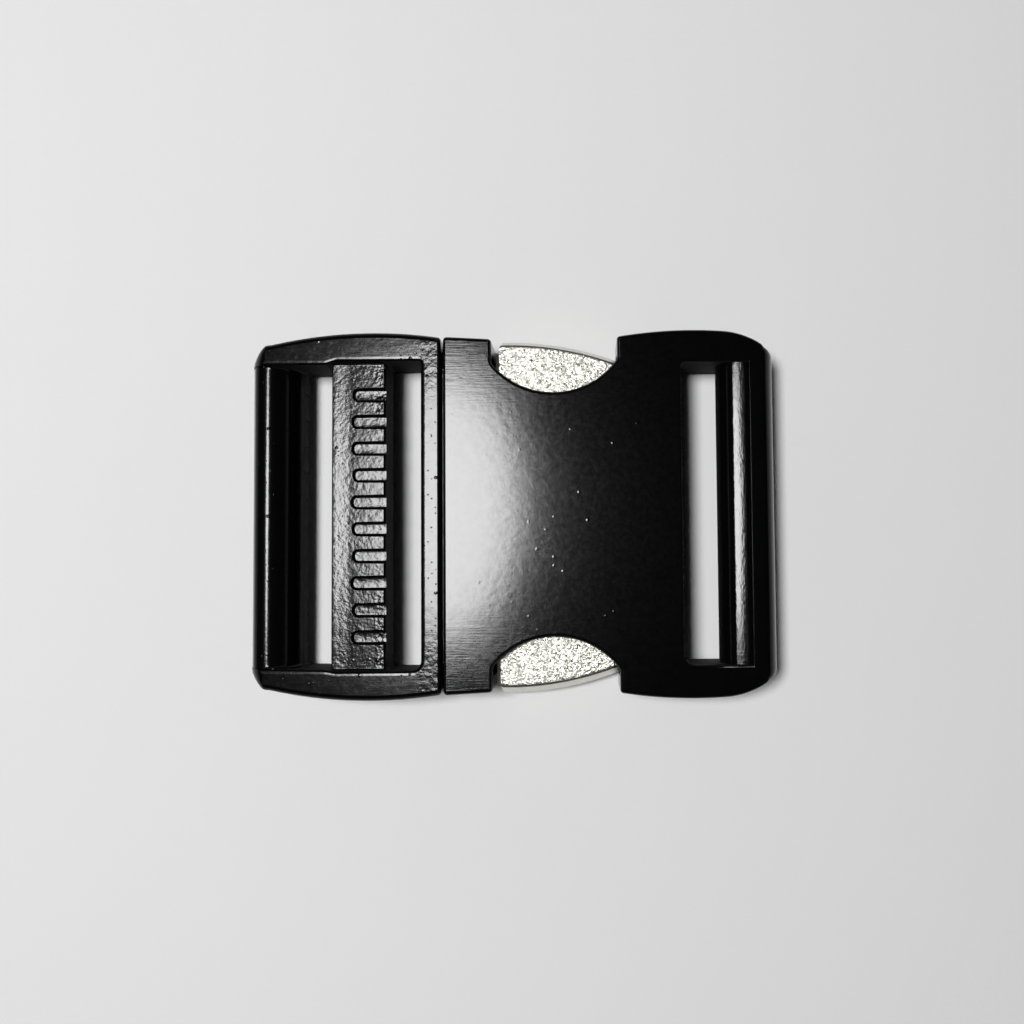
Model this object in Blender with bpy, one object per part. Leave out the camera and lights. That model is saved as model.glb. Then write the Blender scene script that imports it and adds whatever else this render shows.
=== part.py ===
"""Side-release buckle for 38 mm webbing, with an adjuster slider on its male half.

Metres. +X runs from the male half to the female half, +Z up, and the buckle lies flat on z = 0.
The male half carries two latches that swing on upright pins near the tip of its tongue.
"""
import math

import bmesh
import bpy
from mathutils import Matrix, Vector

MM = 0.001

# Whole buckle
THICKNESS = 9.2 * MM
HALF_LENGTH = 35.1 * MM
EDGE_ROUND = 0.45 * MM
MALE_FACE_X = -9.2 * MM
MOUTH_FACE_X = -8.9 * MM
RAIL_CREST_Y = 24.3 * MM
BOW_RADIUS = 60.0 * MM
NOSE_STEPS = 12

# Male half: frame with two webbing slots
MALE_CREST_X = -18.6 * MM
MALE_CORNER = 2.8 * MM
MALE_NOSE = 2.5 * MM
WINDOW_LEFT_X = -34.0 * MM
WINDOW_STEP_X = -24.6 * MM
WINDOW_RIGHT_X = -11.8 * MM
WINDOW_NARROW_Y = 19.85 * MM
WINDOW_WIDE_Y = 20.4 * MM
BAR_ANCHOR = 0.8 * MM
END_BAR_CROWN_X = (-33.4 * MM, -32.4 * MM)
END_BAR_TOP = 8.4 * MM
END_BAR_INNER = (-28.7 * MM, 3.4 * MM)
END_BAR_NOTCH = (-28.95 * MM, 5.4 * MM)
END_BAR_BOTTOM = 1.0 * MM
GRIP_BAR_LEFT_X = -24.0 * MM
GRIP_BAR_RIGHT_X = -16.85 * MM
GRIP_BAR_TOP = 8.0 * MM
GRIP_BAR_BOTTOM = 1.6 * MM

# Grip grooves, worked out from the count and the pitch
GROOVE_COUNT = 10
GROOVE_PITCH = 3.57 * MM
GROOVE_WIDTH = 1.7 * MM
GROOVE_DEPTH = 0.6 * MM
GROOVE_END_X = -21.3 * MM

# Female half: housing with a cavity, two finger windows and one webbing slot
FEMALE_CREST_X = 23.8 * MM
FEMALE_CORNER = 3.6 * MM
FEMALE_NOSE = 2.0 * MM
BRIDGE_FRONT_Y = 23.65 * MM
BRIDGE_REAR_Y = 23.3 * MM
FINGER_LEFT_X = -2.7 * MM
FINGER_RIGHT_X = 14.0 * MM
FINGER_CENTRE = (5.5 * MM, 26.65 * MM)
FINGER_RADIUS = 10.5 * MM
PLATE = 1.6 * MM
MOUTH_HALF = 20.3 * MM
CHAMBER_HALF = 21.4 * MM
CHAMBER_START_X = -3.1 * MM
CHAMBER_END_X = 21.1 * MM
STRAP_SLOT_LEFT_X = 22.5 * MM
STRAP_SLOT_HALF = 19.8 * MM
STRAP_BAR_LEFT_X = 27.65 * MM
STRAP_BAR_RIM_X = 31.4 * MM
STRAP_BAR_TOP = 8.5 * MM
STRAP_BAR_SIDE = 2.6 * MM
STRAP_BAR_BOTTOM = 0.9 * MM

# Tongue of the male half, inside the housing
TONGUE_LOW = 1.9 * MM
TONGUE_HIGH = 7.3 * MM
TONGUE_BASE_X = -3.8 * MM
TONGUE_BASE_HALF = 19.9 * MM
WEB_HALF = 7.0 * MM
FORK_ROOT_HALF = 9.0 * MM
FORK_LEFT_X = 14.4 * MM
FORK_TIP_X = 20.6 * MM
FORK_GAP = (3.0 * MM, 6.2 * MM)
LUG_RADIUS = 3.2 * MM
STOP_POCKET_X = -5.6 * MM
STOP_POCKET_Y = (7.0 * MM, 15.5 * MM)

# Latches, pins and springs; the +Y latch is written out and the other one is its mirror image
PIVOT = (17.6 * MM, 15.8 * MM)
PIN_RADIUS = 1.0 * MM
PIN_PRESS_GAP = 0.1 * MM
PIN_RUNNING_GAP = 0.2 * MM
LATCH_ROOT_Z = (3.3 * MM, 5.9 * MM)
LATCH_ROOT_RADIUS = 2.6 * MM
LATCH_TOP = 7.1 * MM
LATCH_WIDEST_Z = 3.1 * MM
LATCH_LOW = 2.1 * MM
LATCH_FLARE = 1.35 * MM
SHOULDER_X = -1.8 * MM
SHOULDER_Y = 22.45 * MM
PAD_INNER_Y = 13.6 * MM
PAD_CLEARANCE = 3.6 * MM
PAD_HEEL = (13.6 * MM, 14.4 * MM)
TOE_X = -5.2 * MM
TOE_Y = (12.5 * MM, 15.1 * MM)
SPRING_X = 2.4 * MM
SPRING_Z = 4.6 * MM
SPRING_RADIUS = 1.25 * MM
SPRING_WIRE = 0.22 * MM
SPRING_TURNS = 9
SPRING_SEAT_RADIUS = 1.8 * MM
SPRING_SEAT_WEB_Y = 2.2 * MM
SPRING_SEAT_LATCH_Y = 16.3 * MM
SPRING_END_GAP = 0.3 * MM


def clear_scene():
    for item in list(bpy.data.objects):
        bpy.data.objects.remove(item, do_unlink=True)


def make_object(name, bm):
    bmesh.ops.recalc_face_normals(bm, faces=bm.faces)
    mesh = bpy.data.meshes.new(name)
    bm.to_mesh(mesh)
    bm.free()
    item = bpy.data.objects.new(name, mesh)
    bpy.context.collection.objects.link(item)
    return item


def loft(name, rings):
    """Closed solid through rings of equal point count, capped at both ends."""
    bm = bmesh.new()
    loops = [[bm.verts.new(point) for point in ring] for ring in rings]
    for lower, upper in zip(loops, loops[1:]):
        for index in range(len(lower)):
            after = (index + 1) % len(lower)
            bm.faces.new((lower[index], lower[after], upper[after], upper[index]))
    bm.faces.new(loops[0])
    bm.faces.new(loops[-1])
    return make_object(name, bm)


def plate_solid(name, outline, low, high):
    """Prism over a plan outline, from z = low to z = high."""
    return loft(name, [[(x, y, z) for x, y in outline] for z in (low, high)])


def profile_solid(name, profile, low, high):
    """Prism over an (x, z) profile, from y = low to y = high."""
    return loft(name, [[(x, y, z) for x, z in profile] for y in (low, high)])


def box_solid(name, low, high):
    corners = [(low[0], low[1]), (high[0], low[1]), (high[0], high[1]), (low[0], high[1])]
    return plate_solid(name, corners, low[2], high[2])


def cylinder_solid(name, centre, radius, low, high, sides=24):
    return plate_solid(name, arc(centre, radius, 0, 360, sides)[:-1], low, high)


def arc(centre, radius, start, stop, steps):
    """Points on an arc, angles in degrees, both ends included. radius may be (x radius, y radius)."""
    wide, tall = radius if isinstance(radius, tuple) else (radius, radius)
    angles = [math.radians(start + (stop - start) * step / steps) for step in range(steps + 1)]
    return [(centre[0] + wide * math.cos(a), centre[1] + tall * math.sin(a)) for a in angles]


def combine(target, tool, operation):
    modifier = target.modifiers.new(tool.name, "BOOLEAN")
    modifier.operation = operation
    modifier.solver = "EXACT"
    modifier.object = tool
    tool.hide_render = True
    tool.display_type = "WIRE"


def round_edges(target, radius):
    modifier = target.modifiers.new("round_edges", "BEVEL")
    modifier.width = radius
    modifier.segments = 2
    modifier.limit_method = "ANGLE"
    modifier.angle_limit = math.radians(40)


def finish_piece(item, colour, metallic, roughness):
    """Give a piece its own material and smooth shading that keeps its sharp edges."""
    material = bpy.data.materials.new(item.name)
    material.use_nodes = True
    shader = material.node_tree.nodes["Principled BSDF"]
    shader.inputs["Base Color"].default_value = (*colour, 1)
    shader.inputs["Metallic"].default_value = metallic
    shader.inputs["Roughness"].default_value = roughness
    item.data.materials.append(material)
    item.data.shade_smooth()
    item.data.set_sharp_from_angle(angle=math.radians(35))


def move_origin(item, x, y):
    """Put an object's origin on the upright axis through (x, y), leaving its shape where it is."""
    item.data.transform(Matrix.Translation((-x, -y, 0)))
    item.location = (x, y, 0)


def bowed_y(x, crest_x):
    """Half width of a rail whose outer side is a shallow arc."""
    return RAIL_CREST_Y - BOW_RADIUS + math.sqrt(BOW_RADIUS ** 2 - (x - crest_x) ** 2)


def bowed_side(start_x, stop_x, crest_x, steps):
    xs = [start_x + (stop_x - start_x) * step / steps for step in range(steps + 1)]
    return [(x, bowed_y(x, crest_x)) for x in xs]


def both_sides(half):
    """Close an outline given for y > 0 by its mirror image in the X axis."""
    return half + [(x, -y) for x, y in reversed(half)]


def nose_profile(face_x, tip_x, depth):
    """Side profile of a half: a flat slab whose outer end is half an ellipse."""
    outward = 1 if tip_x > face_x else -1
    centre = (tip_x - outward * depth, THICKNESS / 2)
    curve = arc(centre, (outward * depth, THICKNESS / 2), -90, 90, NOSE_STEPS)
    return [(face_x, 0)] + curve + [(face_x, THICKNESS)]


def male_outline():
    corner_x = -HALF_LENGTH + MALE_CORNER
    corner_y = bowed_y(corner_x, MALE_CREST_X) - MALE_CORNER
    corner = arc((corner_x, corner_y), MALE_CORNER, 90, 180, 6)
    return both_sides(bowed_side(MALE_FACE_X, corner_x, MALE_CREST_X, 12)[:-1] + corner)


def female_outline():
    rear_corner_x = HALF_LENGTH - FEMALE_CORNER
    rear_corner_y = bowed_y(rear_corner_x, FEMALE_CREST_X) - FEMALE_CORNER
    rear_corner = arc((rear_corner_x, rear_corner_y), FEMALE_CORNER, 90, 0, 6)
    left_angle = math.degrees(math.acos((FINGER_LEFT_X - FINGER_CENTRE[0]) / FINGER_RADIUS))
    right_angle = math.degrees(math.acos((FINGER_RIGHT_X - FINGER_CENTRE[0]) / FINGER_RADIUS))
    finger_window = arc(FINGER_CENTRE, FINGER_RADIUS, -left_angle, -right_angle, 16)
    bridge = [(MOUTH_FACE_X, BRIDGE_FRONT_Y), (FINGER_LEFT_X, BRIDGE_REAR_Y)]
    ear = bowed_side(FINGER_RIGHT_X, rear_corner_x, FEMALE_CREST_X, 10)[:-1]
    return both_sides(bridge + finger_window + ear + rear_corner)


def window_outline():
    """Opening inside the male frame: narrower where the end bar is, wider round the grip bar."""
    slant = WINDOW_WIDE_Y - WINDOW_NARROW_Y
    return both_sides([
        (WINDOW_LEFT_X - EDGE_ROUND * 4, WINDOW_NARROW_Y),
        (WINDOW_STEP_X, WINDOW_NARROW_Y),
        (WINDOW_STEP_X + 2 * slant, WINDOW_WIDE_Y),
        (WINDOW_RIGHT_X, WINDOW_WIDE_Y),
    ])


def end_bar_profile():
    """Outer webbing bar: round nose, flat crown and a big quarter round inside."""
    crown_left, crown_right = END_BAR_CROWN_X
    inner_x, inner_z = END_BAR_INNER
    middle = THICKNESS / 2
    nose_depth = crown_left + HALF_LENGTH
    nose_low = arc((crown_left, middle), (nose_depth, middle - END_BAR_BOTTOM), 270, 180, 5)
    nose_high = arc((crown_left, middle), (nose_depth, END_BAR_TOP - middle), 180, 90, 7)[1:]
    quarter = arc((crown_right, inner_z), (inner_x - crown_right, END_BAR_TOP - inner_z), 90, 0, 10)
    return nose_low + nose_high + quarter + [(inner_x, END_BAR_BOTTOM)]


def grip_bar_profile():
    return [
        (GRIP_BAR_LEFT_X, GRIP_BAR_BOTTOM),
        (GRIP_BAR_RIGHT_X, GRIP_BAR_BOTTOM),
        (GRIP_BAR_RIGHT_X, GRIP_BAR_TOP),
        (GRIP_BAR_LEFT_X, GRIP_BAR_TOP),
    ]


def strap_bar_profile():
    """Webbing bar of the female half: a quarter round that rises towards the rim."""
    centre = (STRAP_BAR_RIM_X, STRAP_BAR_SIDE)
    curve = arc(centre, (STRAP_BAR_RIM_X - STRAP_BAR_LEFT_X, STRAP_BAR_TOP - STRAP_BAR_SIDE), 180, 90, 10)
    foot = [(STRAP_BAR_RIM_X + BAR_ANCHOR, STRAP_BAR_BOTTOM), (STRAP_BAR_LEFT_X, STRAP_BAR_BOTTOM)]
    return foot + curve + [(STRAP_BAR_RIM_X + BAR_ANCHOR, STRAP_BAR_TOP)]


def groove_centres():
    first = -(GROOVE_COUNT - 1) / 2 * GROOVE_PITCH
    return [first + index * GROOVE_PITCH for index in range(GROOVE_COUNT)]


def cut_grip_teeth(frame):
    """Round-ended grooves across the grip bar, and notches in the end bar's inner face."""
    half = GROOVE_WIDTH / 2
    for index, y in enumerate(groove_centres(), 1):
        round_end = arc((GROOVE_END_X + half, y), half, 90, 270, 6)
        outline = round_end + [(GRIP_BAR_RIGHT_X + half, y - half), (GRIP_BAR_RIGHT_X + half, y + half)]
        groove = plate_solid(f"groove_cutter_{index}", outline, GRIP_BAR_TOP - GROOVE_DEPTH, THICKNESS)
        combine(frame, groove, "DIFFERENCE")
        low = (END_BAR_NOTCH[0], y - half, 0)
        high = (END_BAR_INNER[0] + half, y + half, END_BAR_NOTCH[1])
        combine(frame, box_solid(f"notch_cutter_{index}", low, high), "DIFFERENCE")


def add_tongue(frame):
    """Base block, web and fork that carry the latches, inside the housing."""
    base_low = (MALE_FACE_X - BAR_ANCHOR, -TONGUE_BASE_HALF, TONGUE_LOW)
    base_high = (TONGUE_BASE_X, TONGUE_BASE_HALF, TONGUE_HIGH)
    combine(frame, box_solid("tongue_base", base_low, base_high), "UNION")
    web_low = (TONGUE_BASE_X - BAR_ANCHOR, -WEB_HALF, TONGUE_LOW)
    web_high = (FORK_LEFT_X + BAR_ANCHOR, WEB_HALF, TONGUE_HIGH)
    combine(frame, box_solid("tongue_web", web_low, web_high), "UNION")
    lug = arc(PIVOT, LUG_RADIUS, 180, 45, 12)
    fork = plate_solid("tongue_fork", both_sides(lug + [(FORK_TIP_X, PIVOT[1] - LUG_RADIUS)]),
                       TONGUE_LOW, TONGUE_HIGH)
    combine(frame, fork, "UNION")


def cut_tongue(frame):
    """Fork gaps, pin holes, spring seats and the pockets that stop the latches' toes."""
    margin = LUG_RADIUS
    for side, label in ((1, "left"), (-1, "right")):
        gap_y = sorted((side * FORK_ROOT_HALF, side * (PIVOT[1] + 2 * margin)))
        gap = box_solid(f"{label}_fork_gap", (FORK_LEFT_X - margin, gap_y[0], FORK_GAP[0]),
                        (FORK_TIP_X + margin, gap_y[1], FORK_GAP[1]))
        combine(frame, gap, "DIFFERENCE")
        hole = cylinder_solid(f"{label}_pin_hole", (PIVOT[0], side * PIVOT[1]),
                              PIN_RADIUS + PIN_PRESS_GAP, 0, THICKNESS)
        combine(frame, hole, "DIFFERENCE")
        pocket_y = sorted(side * y for y in STOP_POCKET_Y)
        pocket = box_solid(f"{label}_stop_pocket", (STOP_POCKET_X, pocket_y[0], FORK_GAP[0]),
                           (TONGUE_BASE_X + BAR_ANCHOR, pocket_y[1], FORK_GAP[1]))
        combine(frame, pocket, "DIFFERENCE")
        seat = seat_cutter(f"{label}_web_seat", side, SPRING_SEAT_WEB_Y, WEB_HALF + BAR_ANCHOR)
        combine(frame, seat, "DIFFERENCE")


def seat_cutter(name, side, near_y, far_y):
    """Cylinder along Y that sinks a spring seat."""
    ring = arc((SPRING_X, SPRING_Z), SPRING_SEAT_RADIUS, 0, 360, 20)[:-1]
    return profile_solid(name, ring, side * near_y, side * far_y)


def build_male_frame():
    frame = plate_solid("male_frame", male_outline(), 0, THICKNESS)
    round_edges(frame, EDGE_ROUND)
    reach = BOW_RADIUS / 2
    face_x = MALE_FACE_X + BAR_ANCHOR
    nose = profile_solid("male_nose", nose_profile(face_x, -HALF_LENGTH, MALE_NOSE), -reach, reach)
    combine(frame, nose, "INTERSECT")
    window = plate_solid("male_window", window_outline(), -THICKNESS, 2 * THICKNESS)
    combine(frame, window, "DIFFERENCE")
    end_reach = WINDOW_NARROW_Y + BAR_ANCHOR
    combine(frame, profile_solid("end_bar", end_bar_profile(), -end_reach, end_reach), "UNION")
    grip_reach = WINDOW_WIDE_Y + BAR_ANCHOR
    combine(frame, profile_solid("grip_bar", grip_bar_profile(), -grip_reach, grip_reach), "UNION")
    cut_grip_teeth(frame)
    add_tongue(frame)
    cut_tongue(frame)
    finish_piece(frame, (0.012, 0.012, 0.013), 0.0, 0.22)


def build_female_housing():
    housing = plate_solid("female_housing", female_outline(), 0, THICKNESS)
    round_edges(housing, EDGE_ROUND)
    reach = BOW_RADIUS / 2
    face_x = MOUTH_FACE_X - BAR_ANCHOR
    nose = profile_solid("female_nose", nose_profile(face_x, HALF_LENGTH, FEMALE_NOSE), -reach, reach)
    combine(housing, nose, "INTERSECT")
    cavity_low = PLATE
    cavity_high = THICKNESS - PLATE
    mouth = box_solid("mouth_cutter", (MOUTH_FACE_X - BAR_ANCHOR, -MOUTH_HALF, cavity_low),
                      (FINGER_RIGHT_X, MOUTH_HALF, cavity_high))
    combine(housing, mouth, "DIFFERENCE")
    chamber = box_solid("chamber_cutter", (CHAMBER_START_X, -CHAMBER_HALF, cavity_low),
                        (CHAMBER_END_X, CHAMBER_HALF, cavity_high))
    combine(housing, chamber, "DIFFERENCE")
    slot = box_solid("strap_slot_cutter", (STRAP_SLOT_LEFT_X, -STRAP_SLOT_HALF, -THICKNESS),
                     (STRAP_BAR_RIM_X, STRAP_SLOT_HALF, 2 * THICKNESS))
    combine(housing, slot, "DIFFERENCE")
    bar_reach = STRAP_SLOT_HALF + BAR_ANCHOR
    combine(housing, profile_solid("strap_bar", strap_bar_profile(), -bar_reach, bar_reach), "UNION")
    finish_piece(housing, (0.012, 0.012, 0.013), 0.0, 0.22)


def pad_outline(flare):
    """Plan of the press pad for y > 0; flare pushes its outer edge out, for the drafted side."""
    outer_centre_x = -0.6 * MM
    outer_radius = 41.0 * MM
    steps = 10
    outer_end_x = 15.4 * MM
    xs = [SHOULDER_X + (outer_end_x - SHOULDER_X) * step / steps for step in range(steps + 1)]
    drop = [outer_radius - math.sqrt(outer_radius ** 2 - (x - outer_centre_x) ** 2) for x in xs]
    outer = [(x, SHOULDER_Y + flare - fall) for x, fall in zip(xs, drop)]
    round_the_lug = arc(PIVOT, PAD_CLEARANCE, 125, 190, 5)
    return outer + round_the_lug + [PAD_HEEL, (SHOULDER_X, PAD_INNER_Y)]


def build_latch(name, side):
    """Press pad, thin root that swings on the pin, and toe that meets its stop in the tongue."""
    levels = ((LATCH_LOW, LATCH_FLARE), (LATCH_WIDEST_Z, LATCH_FLARE), (LATCH_TOP, 0))
    latch = loft(name, [[(x, side * y, z) for x, y in pad_outline(flare)] for z, flare in levels])
    root_outline = arc(PIVOT, LATCH_ROOT_RADIUS, 100, -110, 12)
    inner_x = PIVOT[0] - 2 * PAD_CLEARANCE
    root_outline += [(inner_x, PAD_INNER_Y + BAR_ANCHOR), (inner_x, PIVOT[1] + LATCH_ROOT_RADIUS)]
    root = plate_solid(f"{name}_root", [(x, side * y) for x, y in root_outline], *LATCH_ROOT_Z)
    combine(latch, root, "UNION")
    toe_y = sorted(side * y for y in TOE_Y)
    toe = box_solid(f"{name}_toe", (TOE_X, toe_y[0], LATCH_ROOT_Z[0]),
                    (SHOULDER_X + BAR_ANCHOR, toe_y[1], LATCH_ROOT_Z[1]))
    combine(latch, toe, "UNION")
    hole = cylinder_solid(f"{name}_pin_hole", (PIVOT[0], side * PIVOT[1]),
                          PIN_RADIUS + PIN_RUNNING_GAP, 0, THICKNESS)
    combine(latch, hole, "DIFFERENCE")
    seat = seat_cutter(f"{name}_seat", side, PAD_INNER_Y - 2 * BAR_ANCHOR, SPRING_SEAT_LATCH_Y)
    combine(latch, seat, "DIFFERENCE")
    move_origin(latch, PIVOT[0], side * PIVOT[1])
    finish_piece(latch, (0.62, 0.6, 0.55), 1.0, 0.35)


def build_pin(name, side):
    centre = (PIVOT[0], side * PIVOT[1])
    pin = cylinder_solid(name, centre, PIN_RADIUS, TONGUE_LOW, TONGUE_HIGH)
    move_origin(pin, *centre)
    finish_piece(pin, (0.5, 0.5, 0.5), 1.0, 0.3)


def helix_point(turn_fraction, start_y, side):
    """Point on the spring's wire axis; the coil closes up at both ends."""
    length = SPRING_SEAT_LATCH_Y - SPRING_SEAT_WEB_Y - 2 * SPRING_END_GAP - 2 * SPRING_WIRE
    eased = turn_fraction - 0.06 * math.sin(4 * math.pi * turn_fraction)
    angle = 2 * math.pi * SPRING_TURNS * turn_fraction
    return Vector((SPRING_X + SPRING_RADIUS * math.cos(angle), side * (start_y + length * eased),
                   SPRING_Z + SPRING_RADIUS * math.sin(angle)))


def build_spring(name, side):
    """Compression spring between the tongue's web and the latch, as a wire swept along a helix."""
    start_y = SPRING_SEAT_WEB_Y + SPRING_END_GAP + SPRING_WIRE
    steps = SPRING_TURNS * 12
    sides = 5
    axis = Vector((0, 1, 0))
    rings = []
    for step in range(steps + 1):
        centre = helix_point(step / steps, start_y, side)
        outward = (centre - Vector((SPRING_X, centre.y, SPRING_Z))).normalized()
        angles = [2 * math.pi * corner / sides for corner in range(sides)]
        rings.append([centre + SPRING_WIRE * (outward * math.cos(a) + axis * math.sin(a)) for a in angles])
    finish_piece(loft(name, rings), (0.45, 0.45, 0.46), 1.0, 0.3)


def build():
    clear_scene()
    build_male_frame()
    build_female_housing()
    for side, label in ((1, "left"), (-1, "right")):
        build_latch(f"{label}_latch", side)
        build_pin(f"{label}_pivot_pin", side)
        build_spring(f"{label}_latch_spring", side)


build()
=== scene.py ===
import math

import bmesh
import bpy
from mathutils import Matrix, Vector


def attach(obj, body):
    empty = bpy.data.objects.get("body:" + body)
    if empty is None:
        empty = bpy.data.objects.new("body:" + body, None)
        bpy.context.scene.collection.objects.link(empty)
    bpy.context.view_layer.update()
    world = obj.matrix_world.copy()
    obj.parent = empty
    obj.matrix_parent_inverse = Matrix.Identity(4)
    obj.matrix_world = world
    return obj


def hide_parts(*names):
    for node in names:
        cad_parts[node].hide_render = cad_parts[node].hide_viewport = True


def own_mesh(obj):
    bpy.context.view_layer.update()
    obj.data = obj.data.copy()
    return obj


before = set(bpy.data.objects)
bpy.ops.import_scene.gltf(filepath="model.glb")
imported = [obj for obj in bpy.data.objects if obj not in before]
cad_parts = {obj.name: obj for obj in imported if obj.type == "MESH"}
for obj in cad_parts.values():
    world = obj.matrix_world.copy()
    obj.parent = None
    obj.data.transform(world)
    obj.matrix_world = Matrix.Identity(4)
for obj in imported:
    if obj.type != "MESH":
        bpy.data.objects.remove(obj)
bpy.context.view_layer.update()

MM = 0.001
THICK = 9.2 * MM
MIDDLE = THICK / 2
HALF_LENGTH = 35.095 * MM
MALE_EDGE = 0.8 * MM
FEMALE_EDGE = 0.5 * MM
MALE_FACE_ROUNDING = 0.5
FEMALE_FACE_ROUNDING = 0.8
FINE = 30

CREST_Y = 24.295 * MM
BOW = 60.0 * MM
MALE_FACE = -9.45 * MM
MALE_CREST = -18.6 * MM
MALE_NOSE = 2.5 * MM
MALE_CORNER = 3.2 * MM
WINDOW_Y = 19.95 * MM
WINDOW_WIDE_Y = 20.4 * MM
WINDOW_STEP_X = -24.6 * MM
WINDOW_WIDE_X = -23.2 * MM
WINDOW_RIGHT_X = -12.0 * MM
MOUTH_FACE = -9.1 * MM
CHAMBER_X = (-3.1 * MM, 21.1 * MM)
STRAP_SLOT_X = 22.5 * MM
STRAP_BAR_X = 27.45 * MM
FEMALE_CREST = 23.8 * MM
FEMALE_NOSE = 2.0 * MM
FEMALE_CORNER = 1.2 * MM
SHOULDER_START = 28.0 * MM
SHOULDER_BOW = 12.0 * MM
FINGER_X = (-2.7 * MM, 14.0 * MM)
FINGER_CENTRE = (5.5 * MM, 26.65 * MM)
FINGER_RADIUS = 10.5 * MM
SLOT_Y = 19.9 * MM
NOTCH_X = -28.75 * MM
PLATE = 1.6 * MM
PIVOT = (17.6 * MM, 15.8 * MM)
GAP = (3.0 * MM, 6.2 * MM)
SPRING_X = 2.4 * MM
TONGUE = (1.9 * MM, 7.3 * MM)


# ---------------------------------------------------------------- outlines

def arc(cx, cy, rx, ry, start, stop, steps):
    angles = [math.radians(start + (stop - start) * k / steps) for k in range(steps + 1)]
    return [(cx + rx * math.cos(a), cy + ry * math.sin(a)) for a in angles]


def rounded(corners, steps=5):
    """Closed outline through (x, y, r) corners, each eased by its own radius."""
    outline = []
    for i, (x, y, r) in enumerate(corners):
        here = Vector((x, y))
        if r == 0:
            outline.append((x, y))
            continue
        back = (Vector(corners[i - 1][:2]) - here).normalized()
        ahead = (Vector(corners[(i + 1) % len(corners)][:2]) - here).normalized()
        half = back.angle(ahead) / 2
        centre = here + (back + ahead).normalized() * (r / math.sin(half))
        first = here + back * (r / math.tan(half)) - centre
        last = here + ahead * (r / math.tan(half)) - centre
        turn = first.angle_signed(last)
        for k in range(steps + 1):
            spoke = first.copy()
            spoke.rotate(Matrix.Rotation(-turn * k / steps, 2))
            outline.append(tuple(centre + spoke))
    return outline


def normals_of(outline):
    """Outward unit normal, stretched at corners, at each point of a closed outline."""
    area = sum(a[0] * b[1] - b[0] * a[1] for a, b in zip(outline, outline[1:] + outline[:1]))
    turn = 1 if area > 0 else -1
    result = []
    for i, point in enumerate(outline):
        before = Vector(point) - Vector(outline[i - 1])
        after = Vector(outline[(i + 1) % len(outline)]) - Vector(point)
        n1 = Vector((before.y, -before.x)).normalized() * turn
        n2 = Vector((after.y, -after.x)).normalized() * turn
        both = (n1 + n2).normalized()
        result.append(both / max(0.5, both.dot(n1)))
    return result


def grown(outline, amount):
    """Outline moved outwards; amount is a length, or a length for each point."""
    amounts = amount if isinstance(amount, list) else [amount] * len(outline)
    normals = normals_of(outline)
    return [(p[0] + n.x * a, p[1] + n.y * a) for p, n, a in zip(outline, normals, amounts)]


def mirrored(half):
    return half + [(x, -y, *rest) for x, y, *rest in reversed(half)]


def flip(outline, side):
    """Mirror an outline in the X axis when side is -1."""
    return [(x, y * side) for x, y in outline]


def bowed(x, crest):
    return CREST_Y - BOW + math.sqrt(BOW ** 2 - (x - crest) ** 2)


def bow(start, stop, crest, steps=FINE):
    xs = [start + (stop - start) * k / steps for k in range(steps + 1)]
    return [(x, bowed(x, crest), 0) for x in xs]


def sweep(start, stages):
    """Curve of tangent arcs; each stage turns from one tilt to the next with a radius in mm."""
    x, z = start
    points = [start]
    for first, last, radius in stages:
        steps = max(2, round(abs(last - first) / 5))
        for k in range(1, steps + 1):
            a = math.radians(first + (last - first) * (k - 1) / steps)
            b = math.radians(first + (last - first) * k / steps)
            x += radius * MM * (math.sin(b) - math.sin(a))
            z += radius * MM * (math.cos(b) - math.cos(a))
            points.append((x, z))
    return points


def ease(t):
    t = max(0.0, min(1.0, t))
    return t * t * (3 - 2 * t)


# ---------------------------------------------------------------- solids

def loft(name, rings):
    """Closed solid through rings of equal point count."""
    bm = bmesh.new()
    loops = [[bm.verts.new(p) for p in ring] for ring in rings]
    for low, high in zip(loops, loops[1:]):
        for i in range(len(low)):
            j = (i + 1) % len(low)
            bm.faces.new((low[i], low[j], high[j], high[i]))
    bm.faces.new(loops[0])
    bm.faces.new(loops[-1])
    bmesh.ops.recalc_face_normals(bm, faces=bm.faces)
    mesh = bpy.data.meshes.new(name)
    bm.to_mesh(mesh)
    bm.free()
    item = bpy.data.objects.new(name, mesh)
    bpy.context.scene.collection.objects.link(item)
    return item


def upright(name, outline, levels):
    """Solid whose plan outline grows by the amount given at each (z, amount) level."""
    return loft(name, [[(x, y, z) for x, y in grown(outline, amount)] for z, amount in levels])


def eased_levels(low, high, radius, steps=4):
    """Levels of a solid with rounded top and bottom edges."""
    bottom = [(low + radius - radius * math.cos(a), -radius + radius * math.sin(a))
              for a in [math.pi / 2 * k / steps for k in range(steps + 1)]]
    top = [(high + low - z, grow) for z, grow in reversed(bottom)]
    return bottom + top


def flared_levels(low, high, radius, steps=5):
    """Levels of a cutter that rounds the edges it leaves at z = low and z = high."""
    top = [(high - radius + radius * math.sin(a), radius - radius * math.cos(a))
           for a in [math.radians(84) * k / steps for k in range(steps + 1)]]
    bottom = [(low + high - z, grow) for z, grow in reversed(top)]
    return [(low - MM, radius)] + bottom + top + [(high + MM, radius)]


def lipped_levels(low, high):
    """Levels of a cutter that leaves a shallow polished lip round its rims."""
    lip = [(0.30, 0.0), (0.14, 0.05), (0.06, 0.15), (0.03, 0.34), (0.0, 0.62)]
    top = [(high - depth * MM, grow * MM) for depth, grow in lip]
    bottom = [(low + high - z, grow) for z, grow in reversed(top)]
    return [(low - MM, bottom[0][1])] + bottom + top + [(high + MM, top[-1][1])]


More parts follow.
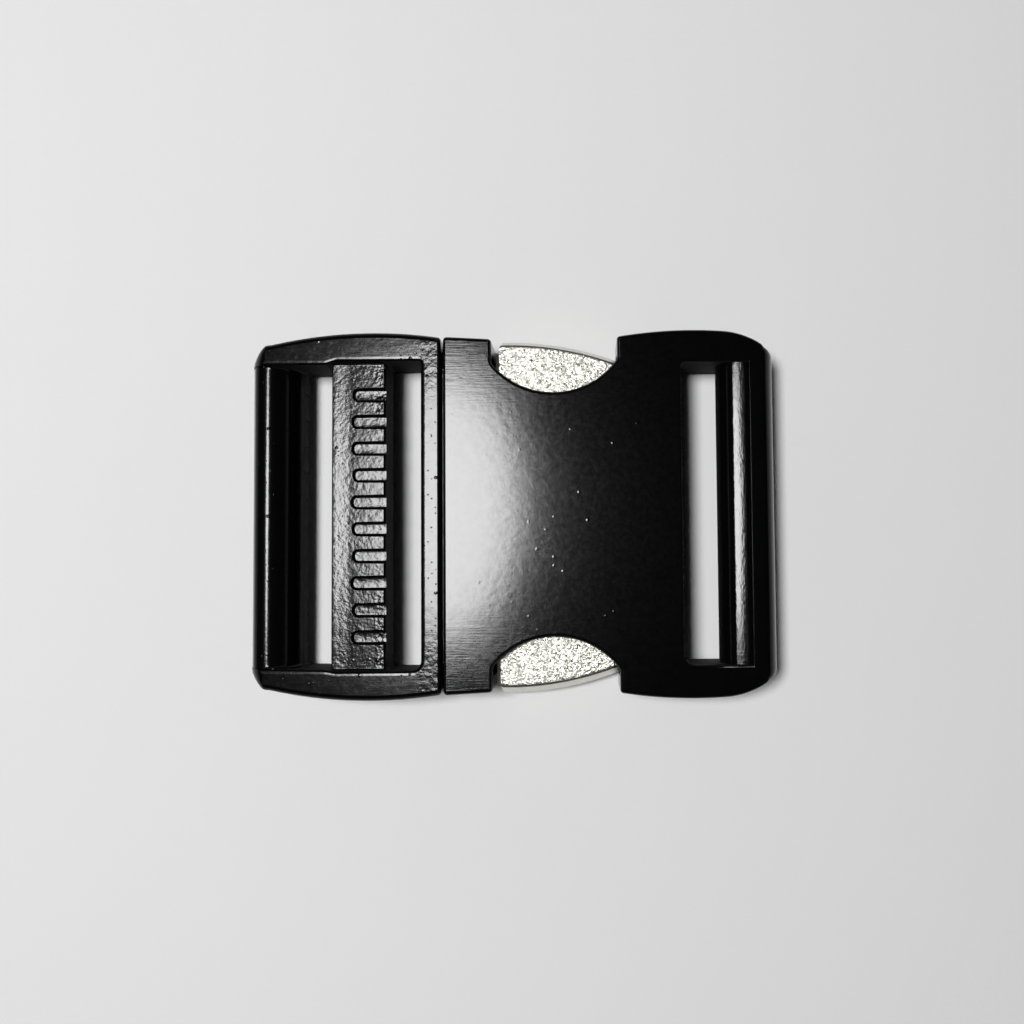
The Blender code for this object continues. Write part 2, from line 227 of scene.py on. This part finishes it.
def block(name, low, high, radius):
    turn = 1.6 * radius
    corners = [(low[0], low[1], turn), (high[0], low[1], turn),
               (high[0], high[1], turn), (low[0], high[1], turn)]
    return upright(name, rounded(corners, 3), eased_levels(low[2], high[2], radius, 3))


def box(name, low, high):
    ring = [(low[0], low[1]), (high[0], low[1]), (high[0], high[1]), (low[0], high[1])]
    return upright(name, ring, [(low[2], 0), (high[2], 0)])


def along_y(name, sections):
    """Solid through (y, [(x, z), ...]) sections."""
    return loft(name, [[(x, y, z) for x, z in profile] for y, profile in sections])


def webbed_bar(name, profile, wall, fillet, reach, weight):
    """Bar along Y whose profile swells into the walls it meets; weight says where it may swell."""
    weights = [weight(x, z) for x, z in profile]
    stations = [wall + reach, wall]
    stations += [wall - fillet * (1 - math.cos(math.radians(90 * k / 6))) for k in range(1, 7)]
    stations += [wall * k / 8 for k in range(7, 0, -1)] + [0.0]
    sections = []
    for y in stations:
        near = max(0.0, min(fillet, fillet - (wall - y)))
        swell = fillet - math.sqrt(fillet ** 2 - near ** 2)
        sections.append((y, grown(profile, [swell * w for w in weights])))
    lower = [(-y, ring) for y, ring in reversed(sections[:-1])]
    return along_y(name, sections + lower)


def slab(name, outline, edge, face_rounding, nose_start, nose_depth, direction):
    """Plate with rounded edges; its outer end is half an ellipse in side view.

    face_rounding is the share of the rounding that its flat end gets.
    """
    normals = normals_of(outline)
    rings = []
    steps = FINE
    for step in range(steps + 1):
        tilt = math.pi * (step / steps - 0.5)
        z = MIDDLE + MIDDLE * math.sin(tilt)
        rise = max(0.0, abs(z - MIDDLE) - (MIDDLE - edge))
        inset = edge - math.sqrt(max(0.0, edge ** 2 - rise ** 2))
        ring = []
        for (x, y), n in zip(outline, normals):
            beyond = (direction * x - nose_start) / nose_depth
            if beyond > 0:
                x = direction * (nose_start + beyond * nose_depth * math.cos(tilt))
            else:
                x -= n.x * inset * face_rounding
            ring.append((x, y - n.y * inset, z))
        rings.append(ring)
    return loft(name, rings)


def combine(target, tool, operation):
    modifier = target.modifiers.new(tool.name, "BOOLEAN")
    modifier.operation = operation
    modifier.solver = "EXACT"
    modifier.object = tool
    tool.hide_render = True


def cut(target, *tools):
    for tool in tools:
        combine(target, tool, "DIFFERENCE")


def add(target, *tools):
    for tool in tools:
        combine(target, tool, "UNION")


def settle(item, sharp=32):
    """Apply the modifiers, drop the cutters and weight the normals so flats stay flat."""
    tools = [m.object for m in item.modifiers if m.type == "BOOLEAN"]
    evaluated = item.evaluated_get(bpy.context.evaluated_depsgraph_get())
    mesh = bpy.data.meshes.new_from_object(evaluated)
    item.modifiers.clear()
    item.data = mesh
    for tool in tools:
        bpy.data.objects.remove(tool, do_unlink=True)
    bm = bmesh.new()
    bm.from_mesh(mesh)
    bmesh.ops.remove_doubles(bm, verts=bm.verts, dist=2e-6)
    bmesh.ops.dissolve_degenerate(bm, edges=bm.edges, dist=1e-6)
    bm.to_mesh(mesh)
    bm.free()
    mesh.shade_smooth()
    mesh.set_sharp_from_angle(angle=math.radians(sharp))
    weighted = item.modifiers.new("weighted", "WEIGHTED_NORMAL")
    weighted.keep_sharp = True
    weighted.weight = 100
    return item


# ---------------------------------------------------------------- materials

class Nodes:
    """A material's node tree with a few shortcuts."""

    def __init__(self, name, metallic):
        self.material = bpy.data.materials.new(name)
        self.material.use_nodes = True
        self.tree = self.material.node_tree
        self.shader = self.tree.nodes["Principled BSDF"]
        self.shader.inputs["Metallic"].default_value = metallic
        self.place = self.node("ShaderNodeTexCoord").outputs["Object"]
        self.normal = None

    def node(self, kind, **settings):
        made = self.tree.nodes.new(kind)
        for key, value in settings.items():
            setattr(made, key, value)
        return made

    def set(self, node, name, value):
        if isinstance(value, bpy.types.NodeSocket):
            self.tree.links.new(value, node.inputs[name])
        else:
            node.inputs[name].default_value = value

    def math(self, operation, a, b=0.0):
        made = self.node("ShaderNodeMath", operation=operation)
        self.set(made, 0, a)
        self.set(made, 1, b)
        return made.outputs[0]

    def stretched(self, scale):
        made = self.node("ShaderNodeMapping")
        self.set(made, "Vector", self.place)
        self.set(made, "Scale", scale)
        return made.outputs[0]

    def noise(self, scale, detail=2.0, rough=0.5, stretch=None):
        made = self.node("ShaderNodeTexNoise")
        self.set(made, "Vector", self.stretched(stretch) if stretch else self.place)
        self.set(made, "Scale", scale)
        self.set(made, "Detail", detail)
        self.set(made, "Roughness", rough)
        return made.outputs["Fac"]

    def wavy(self, *settings):
        """Noise centred on zero, so that a mask multiplied with it leaves no step at its edge."""
        return self.math("SUBTRACT", self.noise(*settings), 0.5)

    def remap(self, value, low, high, new_low=0.0, new_high=1.0):
        made = self.node("ShaderNodeMapRange", interpolation_type="SMOOTHSTEP")
        self.set(made, 0, value)
        for index, number in enumerate((low, high, new_low, new_high), 1):
            self.set(made, index, number)
        return made.outputs[0]

    def axis(self, letter):
        made = self.node("ShaderNodeSeparateXYZ")
        self.set(made, 0, self.place)
        return made.outputs[letter]

    def beyond(self, letter, start, stop):
        """Mask that rises from 0 to 1 as the distance from the middle goes from start to stop."""
        return self.remap(self.math("ABSOLUTE", self.axis(letter)), start, stop)

    def between(self, letter, low, high, soft):
        rise = self.remap(self.axis(letter), low - soft, low)
        fall = self.remap(self.axis(letter), high, high + soft, 1.0, 0.0)
        return self.math("MULTIPLY", rise, fall)

    def specks(self, scale, share, spread=0.25):
        """Sparse round bumps: one cell in a few holds a speck."""
        made = self.node("ShaderNodeTexVoronoi")
        self.set(made, "Vector", self.place)
        self.set(made, "Scale", scale)
        split = self.node("ShaderNodeSeparateColor")
        self.set(split, 0, made.outputs["Color"])
        chosen = self.math("GREATER_THAN", split.outputs[0], 1 - share)
        dome = self.remap(made.outputs["Distance"], 0.0, spread, 1.0, 0.0)
        return self.math("MULTIPLY", chosen, dome)

    def colour(self, share, low, high):
        """Base colour that goes from low to high as share goes from 0 to 1."""
        made = self.node("ShaderNodeMix", data_type="RGBA")
        self.set(made, "Factor", share)
        self.tree.links.new(made.outputs["Result"], self.shader.inputs["Base Color"])
        colours = [socket for socket in made.inputs if socket.type == "RGBA"]
        for socket, value in zip(colours, (low, high)):
            socket.default_value = (*value, 1)

    def bump(self, height, depth):
        made = self.node("ShaderNodeBump")
        self.set(made, "Height", height)
        self.set(made, "Distance", depth)
        if self.normal is not None:
            self.set(made, "Normal", self.normal)
        self.normal = made.outputs[0]

    def done(self, roughness):
        self.tree.links.new(self.normal, self.shader.inputs["Normal"])
        self.tree.links.new(roughness, self.shader.inputs["Roughness"])
        return self.material


def lacquer(name, housing):
    """Black stoving lacquer: smooth on the ground faces, lumpy on the cast walls."""
    n = Nodes(name, 0.0)
    n.shader.inputs["Specular IOR Level"].default_value = 0.2
    n.colour(n.noise(350, 3.0), (0.0011, 0.0012, 0.0014), (0.0022, 0.0022, 0.0024))
    facing = n.node("ShaderNodeSeparateXYZ")
    n.set(facing, 0, n.node("ShaderNodeNewGeometry").outputs["Normal"])
    wall = n.remap(n.math("ABSOLUTE", facing.outputs["Z"]), 0.15, 0.5, 1.0, 0.0)
    lines = n.noise(1, 3.0, 0.6, stretch=(260, 7000, 260))
    ends = n.remap(n.beyond("Y", 9 * MM, 20 * MM), 0, 1, 0.15, 1.0)
    n.bump(n.math("MULTIPLY", lines, ends), 5.5e-6 if housing else 3.0e-6)
    n.bump(n.noise(900, 2.0), 0.6e-5 if housing else 1.2e-5)
    n.bump(n.noise(5200, 1.0), 1.2e-6)
    inside = n.math("MULTIPLY", n.beyond("Y", 20.9 * MM, 20.5 * MM),
                    n.beyond("X", 31.9 * MM, 31.5 * MM))
    rough_wall = n.math("MULTIPLY", wall, inside)
    n.bump(n.math("MULTIPLY", n.wavy(1400, 3.0, 0.65), rough_wall), 9e-5)
    if housing:
        dust_bumps(n)
    else:
        sag_bumps(n)
    sheen = n.remap(n.noise(1800, 2.0), 0.2, 0.8, *((0.105, 0.13) if housing else (0.13, 0.16)))
    return n.done(n.math("ADD", sheen, n.math("MULTIPLY", rough_wall, 0.65)))


def dust_bumps(n):
    """Dust caught in the lacquer, thickest round the middle of the plate."""
    cluster = n.math("MULTIPLY", n.between("X", 5 * MM, 14 * MM, 5 * MM),
                     n.remap(n.beyond("Y", 10 * MM, 18 * MM), 0, 1, 1, 0))
    n.bump(n.math("MULTIPLY", n.specks(900, 0.10), n.remap(cluster, 0, 1, 0.12, 1.0)), 3.0e-5)
    scuffs = n.noise(1, 2.0, 0.6, stretch=(3200, 1100, 3200))
    strap = n.between("X", 28.2 * MM, 31 * MM, 0.4 * MM)
    n.bump(n.math("MULTIPLY", n.math("SUBTRACT", scuffs, 0.5), strap), 1.4e-5)


def sag_bumps(n):
    """Grit all over, and lacquer that sagged along the grip bar's edge and at the rails' inner ends."""
    n.bump(n.specks(900, 0.09), 3.0e-5)
    n.bump(n.specks(2000, 0.2), 2.2e-5)
    inside = n.beyond("Y", WINDOW_WIDE_Y, WINDOW_WIDE_Y - 0.6 * MM)
    bar_edge = n.math("MULTIPLY", n.between("X", -17.8 * MM, -16 * MM, 1.0 * MM),
                      n.beyond("Y", 6 * MM, 15 * MM))
    bar = n.math("MULTIPLY", n.between("X", -24.5 * MM, -17 * MM, 0.5 * MM), 0.3)
    bar = n.math("MULTIPLY", n.math("MAXIMUM", bar, bar_edge), inside)
    wall_end = n.math("MULTIPLY", n.between("X", -11.4 * MM, -9 * MM, 1.6 * MM),
                      n.beyond("Y", 14 * MM, 19 * MM))
    runs = n.math("MAXIMUM", bar, n.math("MULTIPLY", wall_end, 0.5))
    n.bump(n.math("MULTIPLY", n.wavy(1300, 2.0, 0.5), runs), 7e-5)
    feather = n.math("MULTIPLY", n.wavy(2600, 2.0, 0.6), inside)
    n.bump(n.math("MULTIPLY", feather, n.between("X", -40 * MM, -17 * MM, 1.0 * MM)), 5e-6)


def plated(name):
    """Bare plated casting: blasted grain on the press face, a dark rim of painted shade on the rounded
    top edge, then a bright plain side.
    """
    n = Nodes(name, 1.0)
    flat = n.remap(n.axis("Z"), 7.0 * MM, 7.08 * MM)
    lip = n.remap(n.axis("Z"), 6.4 * MM, 6.6 * MM, 0.85, 0.0)
    coarse = n.noise(2900, 2.0, 0.6)
    tone = n.math("MULTIPLY", flat, n.remap(coarse, 0.3, 0.5, 0.35, 1.0))
    # Painted shade: between z 6.6 and 7.0 mm neither the press-face mask nor the side mask reaches, so
    # the rounded top edge takes the near-black low colour.
    n.colour(n.math("MAXIMUM", tone, lip), (0.05, 0.048, 0.044), (0.76, 0.74, 0.67))
    n.bump(n.math("MULTIPLY", coarse, n.remap(flat, 0, 1, 0.03, 1.0)), 2.2e-4)
    n.bump(n.noise(9000, 1.0), 6e-6)
    return n.done(n.remap(n.noise(2500, 1.0), 0.3, 0.7, 0.26, 0.38))


def steel(name, low, high):
    n = Nodes(name, 1.0)
    n.colour(n.noise(1200, 2.0), low, high)
    n.bump(n.noise(1, 2.0, stretch=(9000, 9000, 900)), 2e-6)
    return n.done(n.remap(n.noise(1500, 2.0), 0.3, 0.7, 0.22, 0.34))


def paper(name):
    n = Nodes(name, 0.0)
    n.colour(n.noise(60, 4.0, 0.6), (0.79, 0.795, 0.79), (0.81, 0.81, 0.81))
    n.bump(n.noise(700, 4.0, 0.65), 5e-5)
    n.bump(n.noise(1, 2.0, stretch=(250, 1400, 250)), 2e-5)
    return n.done(n.remap(n.noise(400, 2.0), 0.3, 0.7, 0.8, 0.9))


# ---------------------------------------------------------------- male half

def end_bar_profile():
    """Side view of the outer webbing bar: round nose, soft crown, long inner curve."""
    foot = 1.0 * MM
    stages = [(-90, -60, 6.0), (-60, -20, 1.5), (-20, 0, 2.4), (0, 14, 2.8),
              (14, 52, 3.9), (52, 66, 7.5), (66, 80, 6.0)]
    outside = sweep((-HALF_LENGTH, MIDDLE), stages)
    edge = outside[-1][0]
    under = arc(-HALF_LENGTH + 1.6 * MM, MIDDLE, 1.6 * MM, MIDDLE - foot, 270, 180, 8)[:-1]
    return under + outside + [(edge - 0.15 * MM, foot + 0.3 * MM), (edge - 0.5 * MM, foot)]


def grip_bar_profile():
    left, right, low, top = -24.0 * MM, -16.85 * MM, 1.6 * MM, 8.0 * MM
    corners = [(left, low, 0.4 * MM), (right, low, 0.4 * MM), (right, top, 0.3 * MM),
               (left + 2.5 * MM, top - 0.05 * MM, 0), (left + 2.0 * MM, top - 0.07 * MM, 0),
               (left + 0.7 * MM, top - 0.03 * MM, 0), (left, top - 0.02 * MM, 0.2 * MM)]
    return rounded(corners, 5)


def groove_rows():
    return [(k - 4.5) * 3.57 * MM for k in range(10)]


def grip_cutter(frame_piece):
    """Ten round-ended grooves in the grip bar and ten notches inside the end bar."""
    floor, top, half = 7.4 * MM, 8.0 * MM, 0.85 * MM
    for k, y in enumerate(groove_rows()):
        left = -21.3 * MM + 0.12 * MM * math.sin(2.3 * k)
        outline = [(-15.0 * MM, y - half), (-15.0 * MM, y + half)]
        outline += arc(left + half * 0.8, y, half * 0.8, half, 90, 270, 12)
        levels = [(floor, -0.27 * MM), (floor + 0.08 * MM, -0.14 * MM), (floor + 0.25 * MM, -0.04 * MM)]
        levels += [(top - 0.16 * MM, 0.04 * MM), (top - 0.05 * MM, 0.1 * MM), (top, 0.18 * MM),
                   (top + MM, 0.18 * MM)]
        cut(frame_piece, upright(f"groove{k}", outline, levels))
        cut(frame_piece, box(f"notch{k}", (NOTCH_X, y - half, 0), (-28 * MM, y + half, 4 * MM)))


def tongue(target):
    low, high = TONGUE
    near = (MALE_FACE - MM, -19.9 * MM, low)
    add(target, block("base", near, (-3.8 * MM, 19.9 * MM, high), 0.3 * MM))
    web_low, web_high = low + 0.04 * MM, high - 0.04 * MM
    add(target, block("web", (-4.8 * MM, -7 * MM, web_low), (15.2 * MM, 7 * MM, web_high), 0.3 * MM))
    lug = [(x, y, 0) for x, y in arc(*PIVOT, 3.2 * MM, 3.2 * MM, 180, 45, 24)]
    fork = rounded(mirrored(lug + [(20.6 * MM, PIVOT[1] - 3.2 * MM, 0.5 * MM)]))
    add(target, upright("fork", fork, eased_levels(low, high, 0.2 * MM)))
    for side in (1, -1):
        span = sorted((side * 9 * MM, side * 22 * MM))
        cut(target, box(f"gap{side}", (11.2 * MM, span[0], GAP[0]), (23.8 * MM, span[1], GAP[1])))
        hole = arc(PIVOT[0], side * PIVOT[1], 1.1 * MM, 1.1 * MM, 0, 360, 40)[:-1]
        cut(target, upright(f"bore{side}", hole, [(0, 0), (THICK, 0)]))
        span = sorted((side * 7 * MM, side * 15.5 * MM))
        cut(target, box(f"pocket{side}", (-5.6 * MM, span[0], GAP[0]), (-3.0 * MM, span[1], GAP[1])))
        cut(target, spring_seat(f"seat{side}", side, 1.8 * MM, 2.2 * MM, 7.8 * MM))


def spring_seat(name, side, half_width, near, far):
    ring = arc(SPRING_X, MIDDLE, half_width, 1.8 * MM, 0, 360, 32)[:-1]
    return along_y(name, [(side * near, ring), (side * far, ring)])


def male_frame():
    corner_x = -HALF_LENGTH + MALE_CORNER
    side = bow(MALE_FACE, corner_x, MALE_CREST)
    side[0] = (*side[0][:2], 0.4 * MM)
    corner = [(x, y, 0) for x, y in
              arc(corner_x, side[-1][1] - MALE_CORNER, MALE_CORNER, MALE_CORNER, 90, 180, 14)]
    outline = rounded(mirrored(side[:-1] + corner))
    piece = slab("male_frame_fine", outline, MALE_EDGE, MALE_FACE_ROUNDING,
                 HALF_LENGTH - MALE_NOSE, MALE_NOSE, -1)
    window = rounded([(-37 * MM, WINDOW_Y, 0), (WINDOW_STEP_X, WINDOW_Y, 1.2 * MM),
                      (WINDOW_WIDE_X, WINDOW_WIDE_Y, 1.2 * MM),
                      (WINDOW_RIGHT_X, WINDOW_WIDE_Y, 0.4 * MM),
                      (WINDOW_RIGHT_X, -WINDOW_WIDE_Y, 1.3 * MM),
                      (WINDOW_WIDE_X, -WINDOW_WIDE_Y, 1.2 * MM),
                      (WINDOW_STEP_X, -WINDOW_Y - 0.2 * MM, 1.2 * MM), (-37 * MM, -WINDOW_Y, 0)])
    cut(piece, upright("window", window, lipped_levels(0, THICK)))
    inner = lambda x, z: ease((x + 32.6 * MM) / (1.2 * MM))
    add(piece, webbed_bar("end_bar", end_bar_profile(), WINDOW_Y, 0.45 * MM, 0.8 * MM, inner))
    everywhere = lambda x, z: 1.0
    add(piece, webbed_bar("grip_bar", grip_bar_profile(), WINDOW_WIDE_Y, 0.35 * MM, 0.8 * MM,
                          everywhere))
    grip_cutter(piece)
    tongue(piece)
    return settle(piece)


# ---------------------------------------------------------------- female half

def shoulder_drop(x):
    """How much further than the bow the rail turns in towards the rear corner."""
    run = max(0.0, x - SHOULDER_START)
    return SHOULDER_BOW - math.sqrt(SHOULDER_BOW ** 2 - run ** 2)


def female_outline():
    corner_x = HALF_LENGTH - FEMALE_CORNER
    left, right = FINGER_X
    start = math.degrees(math.acos((left - FINGER_CENTRE[0]) / FINGER_RADIUS))
    stop = math.degrees(math.acos((right - FINGER_CENTRE[0]) / FINGER_RADIUS))
    finger = [[x, y, 0] for x, y in
              arc(*FINGER_CENTRE, FINGER_RADIUS, FINGER_RADIUS, -start, -stop, 22)]
    finger[0][2] = finger[-1][2] = 0.8 * MM
    ear = [[x, y - shoulder_drop(x), r] for x, y, r in bow(right, corner_x, FEMALE_CREST)]
    ear[0][2] = 0.45 * MM
    tail = [(x, y, 0) for x, y in
            arc(corner_x, ear[-1][1] - FEMALE_CORNER, FEMALE_CORNER, FEMALE_CORNER, 60, 0, 8)]
    bridge = [(MOUTH_FACE, 23.65 * MM, 0.5 * MM), (left, 23.3 * MM, 0.5 * MM)]
    return rounded(mirrored(bridge + finger + ear[:-1] + tail))


def strap_profile(pinch):
    """Webbing bar, rim and rear nose in side view; pinch narrows the rim's ridge a little."""
    side = STRAP_BAR_X
    foot = [(31.4 * MM, 0.0), (31.4 * MM, 0.9 * MM), (side + 1.6 * MM, 0.9 * MM),
            (side + 0.95 * MM, 1.5 * MM), (side + 0.4 * MM, 2.8 * MM)]
    bar = sweep((side, 5.0 * MM), [(-90, -60, 6.0), (-60, -13, 1.7), (-13, -4, 9.0), (-4, 10, 2.0)])
    rim_left, rim_right = 31.5 * MM, HALF_LENGTH - FEMALE_NOSE - 0.45 * pinch * MM
    step = [(rim_left - 0.06 * MM, 8.8 * MM), (rim_left, THICK - 0.01 * MM),
            (rim_left + 0.02 * MM, THICK)]
    centre = HALF_LENGTH - FEMALE_NOSE
    nose = []
    for x, z in arc(centre, MIDDLE, FEMALE_NOSE - 0.01 * MM, MIDDLE, 90, -90, 24):
        lowered = pinch * 0.06 * MM * ease((z - 7 * MM) / (2 * MM)) * ease((x - rim_right) / (0.8 * MM))
        nose.append((x, z - lowered))
    return foot + bar + step + [(rim_right, THICK)] + nose


def strap_bar():
    half = 20.7 * MM
    count = 60
    sections = []
    for k in range(count + 1):
        y = -half + 2 * half * k / count
        pinch = math.exp(-((abs(y) - 18.0 * MM) / (1.1 * MM)) ** 2)
        sections.append((y, strap_profile(pinch)))
    return along_y("strap_bar", sections)


def female_housing():
    piece = slab("female_housing_fine", female_outline(), FEMALE_EDGE, FEMALE_FACE_ROUNDING,
                 HALF_LENGTH - FEMALE_NOSE, FEMALE_NOSE, 1)
    low, high = PLATE, THICK - PLATE
    reach = 20.3 * MM
    mouth = []
    for depth, flare in ((-1.2, 0.4), (0, 0.4), (0.08, 0.2), (0.2, 0.08), (0.4, 0), (23.1, 0)):
        f = flare * MM
        ring = rounded([(-reach - f, low - f, 0.3 * MM), (reach + f, low - f, 0.3 * MM),
                        (reach + f, high + f, 0.3 * MM), (-reach - f, high + f, 0.3 * MM)], 3)
        mouth.append([(MOUTH_FACE + depth * MM, y, z) for y, z in ring])
    cut(piece, loft("mouth", mouth))
    cut(piece, box("chamber", (CHAMBER_X[0], -21.4 * MM, low), (CHAMBER_X[1], 21.4 * MM, high)))
    slot = rounded([(STRAP_SLOT_X, SLOT_Y, 0.35 * MM), (38 * MM, SLOT_Y, 0),
                    (38 * MM, -SLOT_Y, 0), (STRAP_SLOT_X, -SLOT_Y, 1.2 * MM)])
    cut(piece, upright("slot", slot, flared_levels(0, THICK, 0.4 * MM)))
    add(piece, strap_bar())
    return settle(piece)


# ---------------------------------------------------------------- latches, pins, springs

def pad_outline():
    outer = []
    for k in range(17):
        x = (-1.8 + 17.2 * k / 16) * MM
        drop = 41 * MM - math.sqrt((41 * MM) ** 2 - (x + 0.6 * MM) ** 2)
        outer.append([x, 22.45 * MM - drop, 0])
    outer[0][2] = 0.4 * MM
    lug = [(x, y, 0) for x, y in arc(*PIVOT, 3.6 * MM, 3.6 * MM, 125, 190, 10)]
    return rounded(outer + lug + [(13.6 * MM, 14.4 * MM, 0.3 * MM), (-1.8 * MM, 13.6 * MM, 0.3 * MM)])


def latch(name, side):
    """Latch with a drafted outer side; each level is (z in mm, share of the flare, inset in mm)."""
    outline = pad_outline()
    flares = [1.35 * MM * ease(2.0 * n.y) for n in normals_of(outline)]
    rings = []
    levels = [(2.1, 1.14, 0.3), (2.2, 1.14, 0.12), (2.4, 1.14, 0), (3.1, 1.14, 0),
              (6.5, 0.36, 0), (6.75, 0.3, 0), (6.95, 0.2, 0), (7.06, 0.1, 0), (7.1, 0, 0.04)]
    for z, flare, inset in levels:
        amounts = [-inset * MM] * len(outline)
        ring = grown(outline, amounts)
        rings.append([(x, side * (y + flare * f), z * MM) for (x, y), f in zip(ring, flares)])
    piece = loft(name, rings)
    root = arc(*PIVOT, 2.6 * MM, 2.6 * MM, 100, -110, 24)
    root += [(10.4 * MM, 14.4 * MM), (10.4 * MM, 18.4 * MM)]
    add(piece, upright(f"{name}_root", flip(root, side), [(3.3 * MM, 0), (5.9 * MM, 0)]))
    span = sorted((side * 12.5 * MM, side * 15.1 * MM))
    toe_low, toe_high = (-5.2 * MM, span[0], 3.3 * MM), (-0.8 * MM, span[1], 5.9 * MM)
    add(piece, block(f"{name}_toe", toe_low, toe_high, 0.2 * MM))
    hole = arc(PIVOT[0], side * PIVOT[1], 1.2 * MM, 1.2 * MM, 0, 360, 40)[:-1]
    cut(piece, upright(f"{name}_bore", hole, [(0, 0), (THICK, 0)]))
    cut(piece, spring_seat(f"{name}_seat", side, 2.7 * MM, 12 * MM, 16.4 * MM))
    return settle(piece)


def pivot_pin(name, side):
    ring = arc(PIVOT[0], side * PIVOT[1], MM, MM, 0, 360, 48)[:-1]
    return settle(upright(name, ring, eased_levels(*TONGUE, 0.2 * MM)))


def latch_spring(name, side):
    """Compression spring with closed ends, swept along its wire."""
    near, far, wire, radius, turns = 2.5 * MM, 16.0 * MM, 0.22 * MM, 1.25 * MM, 9
    length = far - near - 2 * wire
    steps = turns * 36
    rings = []
    for step in range(steps + 1):
        t = step / steps
        angle = 2 * math.pi * turns * t
        out = Vector((math.cos(angle), 0, math.sin(angle)))
        y = side * (near + wire + length * (t - 0.06 * math.sin(4 * math.pi * t)))
        centre = Vector((SPRING_X, y, MIDDLE)) + out * radius
        section = arc(0, 0, wire, wire, 0, 360, 10)[:-1]
        rings.append([centre + out * a + Vector((0, b, 0)) for a, b in section])
    return settle(loft(name, rings))


# ---------------------------------------------------------------- assembly

def place(piece, material, body, node):
    piece.data.materials.clear()
    piece.data.materials.append(material)
    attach(piece, body)
    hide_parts(node)


place(male_frame(), lacquer("lacquer_male", False), "male_half", "male_frame")
place(female_housing(), lacquer("lacquer_female", True), "female_half", "female_housing")
plating = plated("latch_plating")
pin_metal = steel("pin_steel", (0.50, 0.49, 0.47), (0.60, 0.59, 0.57))
spring_metal = steel("spring_steel", (0.40, 0.40, 0.41), (0.50, 0.50, 0.51))
for side, label in ((1, "left"), (-1, "right")):
    arm = latch(f"{label}_latch_fine", side)
    place(arm, plating, f"{label}_latch", f"{label}_latch")
    pin = pivot_pin(f"{label}_pin_fine", side)
    place(pin, pin_metal, "male_half", f"{label}_pivot_pin")
    coil = latch_spring(f"{label}_spring_fine", side)
    place(coil, spring_metal, "male_half", f"{label}_latch_spring")
    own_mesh(coil)


# ---------------------------------------------------------------- stage, light, camera

def stage_floor():
    bm = bmesh.new()
    bmesh.ops.create_grid(bm, x_segments=1, y_segments=1, size=1.5)
    mesh = bpy.data.meshes.new("paper")
    bm.to_mesh(mesh)
    bm.free()
    mesh.materials.append(paper("paper"))
    floor = bpy.data.objects.new("paper", mesh)
    bpy.context.scene.collection.objects.link(floor)


def soft_light(name, centre, size, radiance, gloss, matt):
    """Elliptical soft box that faces down; gloss and matt say which surfaces it serves."""
    light = bpy.data.lights.new(name, "AREA")
    light.shape = "ELLIPSE"
    light.size, light.size_y = size
    light.energy = radiance * math.pi * size[0] * size[1]
    item = bpy.data.objects.new(name, light)
    item.location = centre
    item.visible_glossy = gloss
    item.visible_diffuse = matt
    bpy.context.scene.collection.objects.link(item)


def surroundings():
    """Pale walls round the table under a dark ceiling."""
    world = bpy.data.worlds.new("room")
    bpy.context.scene.world = world
    world.use_nodes = True
    nodes, links = world.node_tree.nodes, world.node_tree.links
    place_node = nodes.new("ShaderNodeTexCoord")
    split = nodes.new("ShaderNodeSeparateXYZ")
    links.new(place_node.outputs["Generated"], split.inputs[0])
    fade = nodes.new("ShaderNodeMapRange")
    fade.interpolation_type = "SMOOTHSTEP"
    for index, number in enumerate((0.0, 0.45, 0.72, 0.001), 1):
        fade.inputs[index].default_value = number
    nodes["Background"].inputs["Color"].default_value = (1, 1, 1, 1)
    links.new(split.outputs["Z"], fade.inputs[0])
    links.new(fade.outputs[0], nodes["Background"].inputs["Strength"])


stage_floor()
surroundings()
soft_light("key", (-0.16, 0.04, 0.6), (0.16, 0.16), 44.5, False, True)
soft_light("sheen", (-0.080, 0.032, 0.5), (0.1, 0.172), 38.0, True, False)

camera = bpy.data.objects.new("camera", bpy.data.cameras.new("camera"))
camera.data.sensor_width = 36
camera.data.lens = 36 * 1050 / 1024
camera.data.clip_start = 0.005
camera.data.shift_x = -0.0693
camera.location = (0.00925, -0.0068, 0.1469)
camera.rotation_euler = (math.radians(2.9), 0, math.radians(-0.5))
bpy.context.scene.collection.objects.link(camera)
bpy.context.scene.camera = camera
bpy.context.scene.view_settings.view_transform = "Standard"
